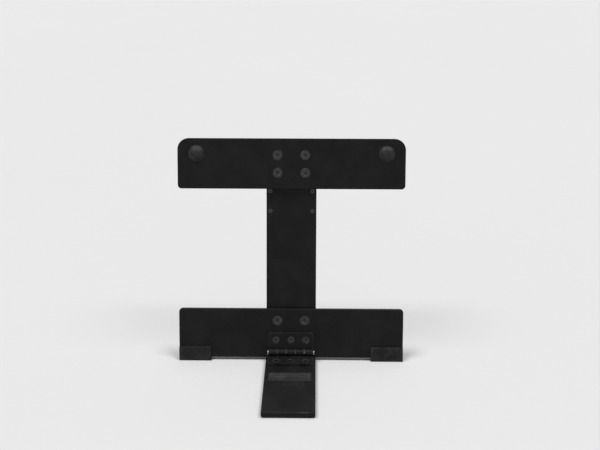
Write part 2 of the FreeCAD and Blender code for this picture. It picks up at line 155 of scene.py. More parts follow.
def stretched(tree, place, scale, turn=(0.0, 0.0, 0.0)):
    node = add(tree, "ShaderNodeMapping", {"Scale": scale, "Rotation": turn})
    tree.links.new(place, node.inputs["Vector"])
    return node.outputs["Vector"]


def object_place(tree):
    return add(tree, "ShaderNodeTexCoord").outputs["Object"]


def tint(tree, base, over, mask):
    """Mixes two colours, or a colour socket and a colour, by a mask."""
    node = add(tree, "ShaderNodeMix", data_type="RGBA")
    for socket, value in ((MIX_UNDER, base), (MIX_OVER, over)):
        if isinstance(value, tuple):
            node.inputs[socket].default_value = value + (1.0,)
        else:
            tree.links.new(value, node.inputs[socket])
    tree.links.new(mask, node.inputs[MIX_FACTOR])
    return node.outputs[MIX_RESULT]


def times(colour, share):
    """The same colour, lighter or darker."""
    return tuple(c * share for c in colour)


# ---------------------------------------------------------------- shader groups
# Ranges of a value in which a mark grows from nothing to full.
MOTTLED = (0.32, 0.68)
TURNED_FACE = (0.992, 0.86)
EDGE_MARK_PATCH = (0.36, 0.66)
SCRATCHED = (0.71, 0.77)
SCRATCH_PATCH = (0.55, 0.7)
DUST_CLOUD = (0.42, 0.78)
MOTE = (0.13, 0.07)
MOTE_PATCH = (0.6, 0.66)

PEEL_SHARE = 0.65
SPECK_SHARE = 0.35
BEVEL_SAMPLES = 6
SCRATCH_PATCH_SCALE = 55.0
MOTE_SCALE = 420.0
MOTE_PATCH_SCALE = 190.0
# Stretch and turn of the three sets of hairlines: along X, along Y and a few upwards.
HAIRLINE_SETS = (((9, 1500, 1500), (0.0, 0.0, 0.35)),
                 ((1300, 12, 1300), (0.0, 0.0, 0.2)),
                 ((1600, 1600, 10), (0.25, 0.1, 0.0)))


def shader_group(name, inputs, outputs):
    """Empty shader node group with named sockets of numbers; returns the tree and its two end nodes."""
    tree = bpy.data.node_groups.new(name, "ShaderNodeTree")
    for label, value in inputs:
        socket = tree.interface.new_socket(label, in_out="INPUT", socket_type="NodeSocketFloat")
        socket.default_value = value
    for label in outputs:
        tree.interface.new_socket(label, in_out="OUTPUT", socket_type="NodeSocketFloat")
    return tree, tree.nodes.new("NodeGroupInput"), tree.nodes.new("NodeGroupOutput")


def make_coat_grain():
    """Fine texture of a baked coat: a close orange peel with finer specks, and slow mottling."""
    inputs = (("Peel", 700.0), ("Specks", 2600.0), ("Mottle", 75.0))
    tree, given, result = shader_group("coat_grain", inputs, ("Height", "Mottling"))
    place = object_place(tree)
    peel = noise(tree, place, given.outputs["Peel"], detail=1.5)
    specks = noise(tree, place, given.outputs["Specks"], detail=1.0, rough=0.6)
    height = maths(tree, "ADD", maths(tree, "MULTIPLY", peel, PEEL_SHARE),
                   maths(tree, "MULTIPLY", specks, SPECK_SHARE))
    mottle = noise(tree, place, given.outputs["Mottle"], detail=4.0, rough=0.6)
    tree.links.new(height, result.inputs["Height"])
    tree.links.new(spread(tree, mottle, *MOTTLED), result.inputs["Mottling"])
    return tree


def make_edge_wear_highlight_mask():
    """Broken mask along outer edges: wear rubbed by hands and cloths, and, where it lightens a coat, also a
    painted edge highlight.
    """
    inputs = (("Radius", 0.0009), ("Breakup", 160.0))
    tree, given, result = shader_group("edge_polish", inputs, ("Mask",))
    bevel = add(tree, "ShaderNodeBevel", samples=BEVEL_SAMPLES)
    tree.links.new(given.outputs["Radius"], bevel.inputs["Radius"])
    surface = add(tree, "ShaderNodeNewGeometry")
    dot = add(tree, "ShaderNodeVectorMath", operation="DOT_PRODUCT")
    tree.links.new(bevel.outputs["Normal"], dot.inputs[0])
    tree.links.new(surface.outputs["Normal"], dot.inputs[1])
    edge = spread(tree, dot.outputs["Value"], *TURNED_FACE)
    broken = noise(tree, object_place(tree), given.outputs["Breakup"], detail=3.0, rough=0.65)
    patches = spread(tree, broken, *EDGE_MARK_PATCH)
    tree.links.new(maths(tree, "MULTIPLY", edge, patches, clamp=True), result.inputs["Mask"])
    return tree


def make_hairlines():
    """Sparse hairline scratches that run mostly one way, with a few across."""
    tree, given, result = shader_group("hairlines", (("Amount", 0.5),), ("Mask",))
    place = object_place(tree)
    found = 0.0
    for scale, turn in HAIRLINE_SETS:
        lines = noise(tree, stretched(tree, place, scale, turn), 1.0, detail=1.0)
        found = maths(tree, "MAXIMUM", found, spread(tree, lines, *SCRATCHED))
    where = spread(tree, noise(tree, place, SCRATCH_PATCH_SCALE, detail=2.0), *SCRATCH_PATCH)
    lined = maths(tree, "MULTIPLY", found, where)
    mask = maths(tree, "MULTIPLY", lined, given.outputs["Amount"], clamp=True)
    tree.links.new(mask, result.inputs["Mask"])
    return tree


def make_dust_film():
    """Thin patchy dust that gathers in a loose cloud with single motes."""
    inputs = (("Amount", 0.3), ("Cloud", 70.0))
    tree, given, result = shader_group("dust_film", inputs, ("Mask",))
    place = object_place(tree)
    cloud = spread(tree, noise(tree, place, given.outputs["Cloud"], detail=5.0, rough=0.62), *DUST_CLOUD)
    motes = add(tree, "ShaderNodeTexVoronoi", {"Scale": MOTE_SCALE})
    tree.links.new(place, motes.inputs["Vector"])
    dots = spread(tree, motes.outputs["Distance"], *MOTE)
    chosen = spread(tree, noise(tree, place, MOTE_PATCH_SCALE, detail=1.0), *MOTE_PATCH)
    both = maths(tree, "MAXIMUM", cloud, maths(tree, "MULTIPLY", dots, chosen))
    mask = maths(tree, "MULTIPLY", both, given.outputs["Amount"], clamp=True)
    tree.links.new(mask, result.inputs["Mask"])
    return tree


COAT_GRAIN = make_coat_grain()
EDGE_WEAR_HIGHLIGHT_MASK = make_edge_wear_highlight_mask()
HAIRLINES = make_hairlines()
DUST_FILM = make_dust_film()


# ---------------------------------------------------------------- finishes
COAT_BLACK = (0.0068, 0.0068, 0.0073)
# Lighter greys of the coat's outer edges: partly rubbed wear, partly a painted edge highlight.
COAT_EDGE_WEAR_AND_HIGHLIGHT = (0.04, 0.04, 0.042)
TONGUE_EDGE_WEAR_AND_HIGHLIGHT = (0.05, 0.05, 0.052)
# Grey of the faint streaks painted on the tongue as a reflection of a standing plate.
PLATE_REFLECTION_GREY = (0.045, 0.045, 0.047)
NOSE_SCUFF_GREY = (0.034, 0.034, 0.035)
LEAF_BLACK = (0.0085, 0.0085, 0.009)
# Lighter grey of the leaf's outer edges: partly rubbed wear, partly a painted edge highlight.
LEAF_EDGE_WEAR_AND_HIGHLIGHT = (0.1, 0.1, 0.102)
OXIDE_BLACK = (0.03, 0.03, 0.0315)
BARE_STEEL = (0.3, 0.3, 0.302)
PIN_GREY = (0.46, 0.455, 0.45)
RUBBER_BLACK = (0.0072, 0.0072, 0.0075)
RUBBER_BLOOM = (0.019, 0.019, 0.0195)
SILICONE_BLACK = (0.0072, 0.0072, 0.0077)
SILICONE_HAZE = (0.016, 0.016, 0.0165)
NYLON_IVORY = (0.6, 0.575, 0.51)
DUST_ON_COAT = (0.12, 0.117, 0.11)
DUST_ON_RUBBER = (0.19, 0.18, 0.165)
DUST_ON_SILICONE = (0.22, 0.21, 0.2)


def use(tree, group, values=None):
    """Places a shader group with its own values."""
    node = tree.nodes.new("ShaderNodeGroup")
    node.node_tree = group
    for socket, value in (values or {}).items():
        node.inputs[socket].default_value = value
    return node


def finish_shell(name, constants):
    """Material with a Principled shader; constants are set on its own sockets."""
    material = bpy.data.materials.new(name)
    material.use_nodes = True
    tree = material.node_tree
    shader = tree.nodes["Principled BSDF"]
    for socket, value in constants.items():
        shader.inputs[socket].default_value = value
    return material, tree, shader


def raise_by(tree, shader, height, strength, distance):
    """Bumps the surface by a height; the distance is in metres."""
    bump = add(tree, "ShaderNodeBump", {"Strength": strength, "Distance": distance})
    tree.links.new(height, bump.inputs["Height"])
    tree.links.new(bump.outputs["Normal"], shader.inputs["Normal"])


def band(tree, axis, low, high, soft):
    """Mask that is 1 between two places along one axis of the object, in metres."""
    parts = add(tree, "ShaderNodeSeparateXYZ")
    tree.links.new(object_place(tree), parts.inputs["Vector"])
    value = parts.outputs[axis]
    rises = spread(tree, value, low - soft, low)
    falls = spread(tree, value, high + soft, high)
    return maths(tree, "MULTIPLY", rises, falls)


def coated_steel(name, colour, edge_and_scratch_grey, rough, lines, dust, peel=700.0, marks=()):
    """Satin black baked coat with hairlines, dust and lighter edges: partly rubbed wear, partly a painted
    edge highlight.

    marks are pairs: a function that makes the mask of a marked place, and the place's colour.
    """
    material, tree, shader = finish_shell(name, {"Specular IOR Level": 0.13})
    grain = use(tree, COAT_GRAIN, {"Peel": peel})
    edges = use(tree, EDGE_WEAR_HIGHLIGHT_MASK).outputs["Mask"]
    scratches = use(tree, HAIRLINES, {"Amount": lines}).outputs["Mask"]
    film = use(tree, DUST_FILM, {"Amount": dust}).outputs["Mask"]
    mottling = grain.outputs["Mottling"]
    base = tint(tree, colour, times(colour, 1.22), mottling)
    # Lighter outer edges: partly rubbed wear, partly a painted edge highlight.
    base = tint(tree, base, edge_and_scratch_grey, edges)
    base = tint(tree, base, times(edge_and_scratch_grey, 1.6), scratches)
    smooth = maths(tree, "MULTIPLY", edges, 0.12)
    for mark, mark_colour in marks:
        mask = mark(tree)
        base = tint(tree, base, mark_colour, mask)
        smooth = maths(tree, "ADD", smooth, maths(tree, "MULTIPLY", mask, 0.1))
    base = tint(tree, base, DUST_ON_COAT, maths(tree, "MULTIPLY", film, 0.35))
    tree.links.new(base, shader.inputs["Base Color"])
    level = levels(tree, mottling, rough - 0.02, rough + 0.025)
    level = maths(tree, "ADD", level, maths(tree, "MULTIPLY", film, 0.15))
    level = maths(tree, "SUBTRACT", level, smooth, clamp=True)
    tree.links.new(level, shader.inputs["Roughness"])
    relief = maths(tree, "SUBTRACT", grain.outputs["Height"], maths(tree, "MULTIPLY", scratches, 0.6))
    raise_by(tree, shader, relief, strength=0.7, distance=0.00014)
    return material


def plate_reflection_streaks(tree):
    """Faint lengthwise streaks on the tongue, just ahead of the strip: a painted reflection of a plate
    standing on the stand.
    """
    line = (RIM_LINE - 10.0) * MM
    across = band(tree, "Y", line, line + 6.0 * MM, soft=4.0 * MM)
    along = band(tree, "X", -9.0 * MM, 11.0 * MM, soft=6.0 * MM)
    drawn = noise(tree, stretched(tree, object_place(tree), (260, 30, 30)), 1.0, detail=3.0)
    streaks = spread(tree, drawn, 0.42, 0.7)
    where = maths(tree, "MULTIPLY", across, along)
    return maths(tree, "MULTIPLY", where, maths(tree, "MULTIPLY", streaks, 0.3))


def nose_scuff(tree):
    """Small knock on the tongue's front upper edge, a little right of the middle."""
    front = (RIM_LINE - TONGUE_REACH) * MM
    across = band(tree, "Y", front - 1.0 * MM, front + 1.1 * MM, soft=0.5 * MM)
    along = band(tree, "X", 8.6 * MM, 14.6 * MM, soft=1.2 * MM)
    up = band(tree, "Z", 4.25 * MM, 5.0 * MM, soft=0.2 * MM)
    chips = spread(tree, noise(tree, object_place(tree), 900.0, detail=3.0, rough=0.7), 0.36, 0.56)
    where = maths(tree, "MULTIPLY", across, along)
    return maths(tree, "MULTIPLY", where, maths(tree, "MULTIPLY", chips, up))


def blackened_steel(name, colour, bare):
    """Oiled black oxide on fasteners, rubbed to steel on the driven edges."""
    material, tree, shader = finish_shell(name, {"Specular IOR Level": 0.5})
    edges = use(tree, EDGE_WEAR_HIGHLIGHT_MASK, {"Radius": 0.0003, "Breakup": 700.0}).outputs["Mask"]
    grain = use(tree, COAT_GRAIN, {"Peel": 2200.0, "Specks": 6000.0, "Mottle": 420.0})
    mottling = grain.outputs["Mottling"]
    base = tint(tree, colour, times(colour, 1.8), mottling)
    tree.links.new(tint(tree, base, bare, edges), shader.inputs["Base Color"])
    tree.links.new(levels(tree, mottling, 0.3, 0.48), shader.inputs["Roughness"])
    tree.links.new(levels(tree, edges, 0.72, 1.0), shader.inputs["Metallic"])
    raise_by(tree, shader, grain.outputs["Height"], strength=0.18, distance=0.00003)
    return material


def turned_steel(name, colour):
    """Drawn and turned pin stock with fine rings about its length."""
    material, tree, shader = finish_shell(name, {"Metallic": 1.0, "Anisotropic": 0.35})
    place = object_place(tree)
    rings = noise(tree, stretched(tree, place, (5200, 60, 60)), 1.0, detail=2.0)
    stain = spread(tree, noise(tree, place, 240.0, detail=4.0, rough=0.6), 0.45, 0.75)
    tree.links.new(tint(tree, colour, times(colour, 0.55), stain), shader.inputs["Base Color"])
    tree.links.new(spread(tree, rings, 0.25, 0.75, to_low=0.22, to_high=0.42), shader.inputs["Roughness"])
    raise_by(tree, shader, rings, strength=0.25, distance=0.00002)
    return material


def moulded_rubber(name, colour, bloom):
    """Matt moulded rubber with a spark-eroded mould texture and a greyish bloom."""
    material, tree, shader = finish_shell(name, {"Specular IOR Level": 0.22})
    grain = use(tree, COAT_GRAIN, {"Peel": 1700.0, "Specks": 4200.0, "Mottle": 110.0})
    edges = use(tree, EDGE_WEAR_HIGHLIGHT_MASK, {"Radius": 0.0005, "Breakup": 380.0}).outputs["Mask"]
    film = use(tree, DUST_FILM, {"Amount": 0.4, "Cloud": 130.0}).outputs["Mask"]
    mottling = grain.outputs["Mottling"]
    base = tint(tree, colour, bloom, maths(tree, "MULTIPLY", mottling, 0.4))
    base = tint(tree, base, bloom, edges)
    base = tint(tree, base, DUST_ON_RUBBER, maths(tree, "MULTIPLY", film, 0.35))
    tree.links.new(base, shader.inputs["Base Color"])
    tree.links.new(levels(tree, mottling, 0.68, 0.86), shader.inputs["Roughness"])
    raise_by(tree, shader, grain.outputs["Height"], strength=0.85, distance=0.00012)
    return material


def soft_silicone(name, colour, haze):
    """Smooth silicone: a low sheen, with lint and patches of haze."""
    constants = {"Specular IOR Level": 0.28, "Sheen Weight": 0.04, "Sheen Roughness": 0.4}
    material, tree, shader = finish_shell(name, constants)
    grain = use(tree, COAT_GRAIN, {"Peel": 900.0, "Specks": 5200.0, "Mottle": 160.0})
    film = use(tree, DUST_FILM, {"Amount": 0.45, "Cloud": 220.0}).outputs["Mask"]
    mottling = grain.outputs["Mottling"]
    base = tint(tree, colour, haze, maths(tree, "MULTIPLY", mottling, 0.35))
    base = tint(tree, base, DUST_ON_SILICONE, maths(tree, "MULTIPLY", film, 0.3))
    tree.links.new(base, shader.inputs["Base Color"])
    tree.links.new(levels(tree, mottling, 0.4, 0.56), shader.inputs["Roughness"])
    raise_by(tree, shader, grain.outputs["Height"], strength=0.2, distance=0.00004)
    return material


def natural_nylon(name, colour):
    """Undyed moulded nylon, slightly cloudy."""
    material, tree, shader = finish_shell(name, {"Specular IOR Level": 0.4, "Roughness": 0.5})
    grain = use(tree, COAT_GRAIN, {"Peel": 1500.0, "Specks": 5000.0, "Mottle": 300.0})
    base = tint(tree, colour, times(colour, 0.8), grain.outputs["Mottling"])
    tree.links.new(base, shader.inputs["Base Color"])
    raise_by(tree, shader, grain.outputs["Height"], strength=0.25, distance=0.00004)
    return material


BAR_COAT = coated_steel("bar_coat", COAT_BLACK, COAT_EDGE_WEAR_AND_HIGHLIGHT, rough=0.46, lines=0.35, dust=0.14)
# The tongue's coat carries a painted reflection of a plate ahead of the strip, and a knock on its nose.
TONGUE_COAT = coated_steel("tongue_coat", COAT_BLACK, TONGUE_EDGE_WEAR_AND_HIGHLIGHT, rough=0.44, lines=0.5, dust=0.16,
                           marks=((plate_reflection_streaks, PLATE_REFLECTION_GREY), (nose_scuff, NOSE_SCUFF_GREY)))
LEAF_COAT = coated_steel("leaf_coat", LEAF_BLACK, LEAF_EDGE_WEAR_AND_HIGHLIGHT, rough=0.38, lines=0.25, dust=0.1, peel=1100.0)
BLACK_OXIDE = blackened_steel("black_oxide", OXIDE_BLACK, BARE_STEEL)
PIN_STEEL = turned_steel("pin_steel", PIN_GREY)
FOOT_RUBBER = moulded_rubber("foot_rubber", RUBBER_BLACK, RUBBER_BLOOM)
BLACK_SILICONE = soft_silicone("black_silicone", SILICONE_BLACK, SILICONE_HAZE)
NYLON = natural_nylon("natural_nylon", NYLON_IVORY)

# Plain solids that stay as they are, and the finish that each one wears.
FINISHES = {
    "lower_bar": BAR_COAT, "upper_bar": BAR_COAT, "spine": BAR_COAT, "strut": BAR_COAT,
    "strut_bracket": BAR_COAT, "tongue": TONGUE_COAT,
    "back_hinge_leaf": LEAF_COAT, "tongue_hinge_leaf": LEAF_COAT,
    "tongue_hinge_pin": PIN_STEEL, "strut_pin": PIN_STEEL, "strut_pin_clips": PIN_STEEL,
    "strut_washers": NYLON,
}

for node_name, material in FINISHES.items():
    for material_slot in NODES[node_name].material_slots:
        material_slot.material = material


# ---------------------------------------------------------------- mesh makers
def mesh_of(name, corners, faces):
    """Closed mesh with doubles merged and faces turned outwards."""
    mesh = bpy.data.meshes.new(name)
    mesh.from_pydata([tuple(c) for c in corners], [], faces)
    shape = bmesh.new()
    shape.from_mesh(mesh)
    bmesh.ops.remove_doubles(shape, verts=shape.verts, dist=MERGE)
    bmesh.ops.recalc_face_normals(shape, faces=shape.faces)
    shape.to_mesh(mesh)
    shape.free()
    return mesh


def loft(name, loops):
    """Skins a row of loops that all have the same number of corners, and closes both ends."""
    count = len(loops[0])
    corners = [c for loop in loops for c in loop]
    faces = []
    for i in range(len(loops) - 1):
        for j in range(count):
            k = (j + 1) % count
            faces.append((i * count + j, i * count + k, (i + 1) * count + k, (i + 1) * count + j))
    faces.append(tuple(range(count)))
    faces.append(tuple((len(loops) - 1) * count + j for j in range(count)))
    return mesh_of(name, corners, faces)


def turned(name, outline, turns):
    """Turns an outline of (radius, height) about Z; it starts and ends on the axis."""
    corners = []
    faces = []
    inner = outline[1:-1]
    for radius, height in inner:
        for i in range(turns):
            a = 2 * math.pi * i / turns
            corners.append((radius * math.cos(a), radius * math.sin(a), height))
    for row in range(len(inner) - 1):
        for i in range(turns):
            k = (i + 1) % turns
            faces.append((row * turns + i, row * turns + k, (row + 1) * turns + k, (row + 1) * turns + i))
    for end, row in ((outline[0], 0), (outline[-1], len(inner) - 1)):
        corners.append((0.0, 0.0, end[1]))
        tip = len(corners) - 1
        faces.extend((row * turns + i, row * turns + (i + 1) % turns, tip) for i in range(turns))
    return mesh_of(name, corners, faces)


def dome_outline(radius, height, base, steps):
    """Part of a sphere of the given base radius and height, from its crown down to its base."""
    ball = (radius ** 2 + height ** 2) / (2 * height)
    reach = math.asin(min(1.0, radius / ball))
    return [(ball * math.sin(reach * i / steps), base + height - ball + ball * math.cos(reach * i / steps))
            for i in range(steps + 1)]


def rounded_loop(half_x, half_y, radius, height):
    """Rounded rectangle in the XY plane; height is a number or a function of (x, y)."""
    loop = []
    for cx, cy, start in ((1, 1, 0), (-1, 1, 90), (-1, -1, 180), (1, -1, 270)):
        for i in range(CORNER_STEPS + 1):
            a = math.radians(start + 90 * i / CORNER_STEPS)
            x = cx * (half_x - radius) + radius * math.cos(a)
            y = cy * (half_y - radius) + radius * math.sin(a)
            loop.append((x, y, height(x, y) if callable(height) else height))
    return loop


def helper(name, mesh):
    """Puts a mesh in the scene for a moment, so that modifiers can work on it."""
    thing = bpy.data.objects.new(name, mesh)
    bpy.context.scene.collection.objects.link(thing)
    return thing


def settled(thing):
    """The finished mesh of an object with its modifiers done; the object is removed."""
    bpy.context.view_layer.update()
    graph = bpy.context.evaluated_depsgraph_get()
    mesh = bpy.data.meshes.new_from_object(thing.evaluated_get(graph))
    bpy.data.objects.remove(thing)
    return mesh


def softened(mesh, width, angle):
    """Rounds the edges of a moulded piece where its faces meet at more than the angle, in degrees."""
    thing = helper(mesh.name, mesh)
    bevel = thing.modifiers.new("rounded_edges", "BEVEL")
    bevel.width = width
    bevel.segments = EDGE_STEPS
    bevel.limit_method = "ANGLE"
    bevel.angle_limit = math.radians(angle)
    return settled(thing)


def joined(name, meshes):
    """One mesh with all the given ones in it."""
    shape = bmesh.new()
    for mesh in meshes:
        shape.from_mesh(mesh)
    whole = bpy.data.meshes.new(name)
    shape.to_mesh(whole)
    shape.free()
    return whole


def piece(name, mesh, place, material, slot, body, *stands_for):
    """Finished piece at the origin, riding on its body in place of its plain solid."""
    mesh.transform(place)
    mesh.shade_smooth()
    mesh.set_sharp_from_angle(angle=CREASE)
    mesh.materials.clear()
    mesh.materials.append(material)
    thing = bpy.data.objects.new(name, mesh)
    bpy.context.scene.collection.objects.link(thing)
    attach(thing, body)
    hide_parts(*stands_for)


def side_name(side):
    return "left" if side < 0 else "right"


# ---------------------------------------------------------------- repeated pieces
REPEAT_INPUTS = (
    ("Columns", "NodeSocketInt", 1), ("Column Step", "NodeSocketVector", (1.0, 0.0, 0.0)),
    ("Rows", "NodeSocketInt", 1), ("Row Step", "NodeSocketVector", (0.0, 0.0, 1.0)),
    ("Largest Turn", "NodeSocketVector", (0.0, 0.0, 0.0)), ("Seed", "NodeSocketInt", 1),
    ("Piece", "NodeSocketObject", None), ("Finish", "NodeSocketMaterial", None),
)


def make_repeat_tree():
    """Geometry Nodes tree that sets one piece out in columns and rows, each copy turned by chance."""
    tree = bpy.data.node_groups.new("set_out_in_rows", "GeometryNodeTree")
    for label, kind, value in REPEAT_INPUTS:
        socket = tree.interface.new_socket(label, in_out="INPUT", socket_type=kind)
        if value is not None:
            socket.default_value = value
    tree.interface.new_socket("Geometry", in_out="OUTPUT", socket_type="NodeSocketGeometry")
    given = add(tree, "NodeGroupInput").outputs
    result = add(tree, "NodeGroupOutput")

    def line(count, step):
        """Row of points about the origin."""
        less = add(tree, "ShaderNodeMath", {1: 1.0}, operation="SUBTRACT")
        half = add(tree, "ShaderNodeMath", {1: -0.5}, operation="MULTIPLY")
        start = add(tree, "ShaderNodeVectorMath", operation="SCALE")
        row = add(tree, "GeometryNodeMeshLine", mode="OFFSET")
        tree.links.new(given[count], less.inputs[0])
        tree.links.new(less.outputs[0], half.inputs[0])
        tree.links.new(given[step], start.inputs[0])
        tree.links.new(half.outputs[0], start.inputs["Scale"])
        tree.links.new(given[count], row.inputs["Count"])
        tree.links.new(start.outputs[0], row.inputs["Start Location"])
        tree.links.new(given[step], row.inputs["Offset"])
        return row.outputs["Mesh"]

    spots = add(tree, "GeometryNodeInstanceOnPoints")
    tree.links.new(line("Columns", "Column Step"), spots.inputs["Points"])
    tree.links.new(line("Rows", "Row Step"), spots.inputs["Instance"])
    all_spots = add(tree, "GeometryNodeRealizeInstances")
    tree.links.new(spots.outputs["Instances"], all_spots.inputs["Geometry"])
    model = add(tree, "GeometryNodeObjectInfo")
    tree.links.new(given["Piece"], model.inputs["Object"])
    copies = add(tree, "GeometryNodeInstanceOnPoints")
    tree.links.new(all_spots.outputs["Geometry"], copies.inputs["Points"])
    tree.links.new(model.outputs["Geometry"], copies.inputs["Instance"])
    chance = add(tree, "FunctionNodeRandomValue", data_type="FLOAT_VECTOR")
    chance.inputs["Min"].default_value = (0.0, 0.0, 0.0)
    tree.links.new(given["Largest Turn"], chance.inputs["Max"])
    tree.links.new(given["Seed"], chance.inputs["Seed"])
    tree.links.new(chance.outputs["Value"], copies.inputs["Rotation"])
    solid = add(tree, "GeometryNodeRealizeInstances")
    tree.links.new(copies.outputs["Instances"], solid.inputs["Geometry"])
    paint = add(tree, "GeometryNodeSetMaterial")
    tree.links.new(solid.outputs["Geometry"], paint.inputs["Geometry"])
    tree.links.new(given["Finish"], paint.inputs["Material"])
    tree.links.new(paint.outputs["Geometry"], result.inputs["Geometry"])
    return tree


REPEAT_TREE = make_repeat_tree()
SOCKETS = {item.name: item.identifier
           for item in REPEAT_TREE.interface.items_tree if item.in_out == "INPUT"}


def set_out(model_mesh, material, **values):
    """Mesh of a model repeated by the tree, about the middle of its columns and rows.

    The values are the tree's inputs, such as columns and column_step; one left out keeps its default.
    """
    model = helper("one_piece", model_mesh)
    host = helper("rows_of_pieces", bpy.data.meshes.new("rows_of_pieces"))
    rule = host.modifiers.new("rows", "NODES")
    rule.node_group = REPEAT_TREE
    values.update(piece=model, finish=material)
    for label, _, _ in REPEAT_INPUTS:
        value = values.get(label.lower().replace(" ", "_"))
        if value is not None:
            rule[SOCKETS[label]] = value
    mesh = settled(host)
    bpy.data.objects.remove(model)
    return mesh


# ---------------------------------------------------------------- fasteners
def key_screw(radius, head_radius, length):
    """Countersunk screw with a hexagon key socket; its head faces -Y and its axis is Y."""
    sink = 0.1
    chamfer = 0.12
    corner = radius * 1.1
    bottom = sink + radius
    rim = head_radius - chamfer * 0.4
    neck = sink + (head_radius - radius)
    point = 0.3

    def ring(reach, along, hexagon=False):
        loop = []
        for i in range(SCREW_TURNS):
            a = 2 * math.pi * i / SCREW_TURNS
            here = reach
            if hexagon:
                side = (a % (math.pi / 3)) - math.pi / 6
                here = reach * math.cos(math.pi / 6) / math.cos(side)
            loop.append((here * math.cos(a), along, here * math.sin(a)))
        return loop

    socket = [ring(corner * 0.2, bottom + 0.25), ring(corner * 0.94, bottom, True),
              ring(corner * 0.96, sink + chamfer, True), ring(corner * 1.03, sink, True)]
    head = [ring(head_radius - 2 * chamfer, sink), ring(rim, sink + chamfer * 0.5),
            ring(rim, sink + chamfer * 1.6)]
    shank = [ring(radius + 0.1, neck - 0.02), ring(radius, neck + 0.1),
             ring(radius, length - point), ring(radius - point, length)]
    return loft("key_screw", socket + head + shank)


def domed_rivet(radius, head_radius, height, length):
    """Rivet with a low domed head; its head faces +Y from y = 0."""
    crown = dome_outline(head_radius * 0.97, height * 0.82, height * 0.18, 8)
    skirt = [(head_radius, height * 0.12), (head_radius, 0.0)]
    shank = [(radius, 0.0), (radius, -length), (0, -length)]
    mesh = turned("domed_rivet", crown + skirt + shank, RIVET_TURNS)
    mesh.transform(Matrix.Rotation(-math.pi / 2, 4, "X"))
    return mesh


def add_bar_screws():
    across, up = BAR_SCREW_STEPS
    above_leaf = HINGE_SLOPE + LEAF_LENGTH
    lower_at = above_leaf + (BAR_WIDTH - HINGE_SLOPE - LEAF_LENGTH) / 2
    upper_at = BACK_HEIGHT - BAR_WIDTH / 2
    for name, rows, middle in (("lower_bar_screws", 1, lower_at), ("upper_bar_screws", 2, upper_at)):
        mesh = set_out(key_screw(**BAR_SCREW), BLACK_OXIDE,
                       columns=BAR_SCREW_ACROSS, column_step=(across, 0, 0), rows=rows, row_step=(0, 0, up),
                       largest_turn=SOCKET_TURN, seed=SCREW_SEEDS[name])
        mesh.transform(Matrix.Translation((0, 0, middle)))
        piece("socket_" + name, mesh, BACK_PLACE, BLACK_OXIDE, "black_fastener", "back", name)


def add_leaf_screws():
    on_back = Matrix.Translation((0, -LEAF_THICK, HINGE_SLOPE + LEAF_SCREW_AT))
    on_tongue = (Matrix.Translation((0, HINGE_Y - LEAF_SCREW_AT, TONGUE_TOP + LEAF_THICK))
                 @ Matrix.Rotation(-math.pi / 2, 4, "X"))
    for name, seat, place, body in (("back_leaf_screws", on_back, BACK_PLACE, "back"),
                                    ("tongue_leaf_screws", on_tongue, TABLE_PLACE, "tongue")):
        mesh = set_out(key_screw(**LEAF_SCREW), BLACK_OXIDE,
                       columns=LEAF_SCREW_ACROSS, column_step=(LEAF_SCREW_STEP, 0, 0),
                       largest_turn=SOCKET_TURN, seed=SCREW_SEEDS[name])
        mesh.transform(seat)
        piece("socket_" + name, mesh, place, BLACK_OXIDE, "black_fastener", body, name)


def add_bracket_rivets():
    across, up = RIVET_STEPS
    mesh = set_out(domed_rivet(**BRACKET_RIVET), BLACK_OXIDE,
                   columns=2, column_step=(across, 0, 0), rows=2, row_step=(0, 0, up))
    mesh.transform(Matrix.Translation((0, BRACKET_FACE, BACK_HEIGHT - BAR_WIDTH - PIN_BELOW_BAR)))
    piece("domed_bracket_rivets", mesh, BACK_PLACE, BLACK_OXIDE, "black_fastener", "back", "bracket_rivets")


# ---------------------------------------------------------------- rubber and silicone pieces
def grip_rib(length, width, proud, buried):
    """Moulded rib that stands up along Z and out along -Y, with run-out ends."""
    arc_steps = 8
    stations = ((0.0, 0.1), (0.04, 0.55), (0.12, 1.0), (0.5, 1.0), (0.88, 1.0), (0.96, 0.55), (1.0, 0.1))
    loops = []
    for share, size in stations:
        z = (share - 0.5) * length
        loop = []
        for i in range(arc_steps + 1):
            a = math.pi * i / arc_steps
            loop.append((width / 2 * size * math.cos(a), -proud * size * math.sin(a), z))
        loop.append((-width / 2 * size, buried, z))
        loop.append((width / 2 * size, buried, z))
        loops.append(loop)
    return loft("grip_rib", loops)


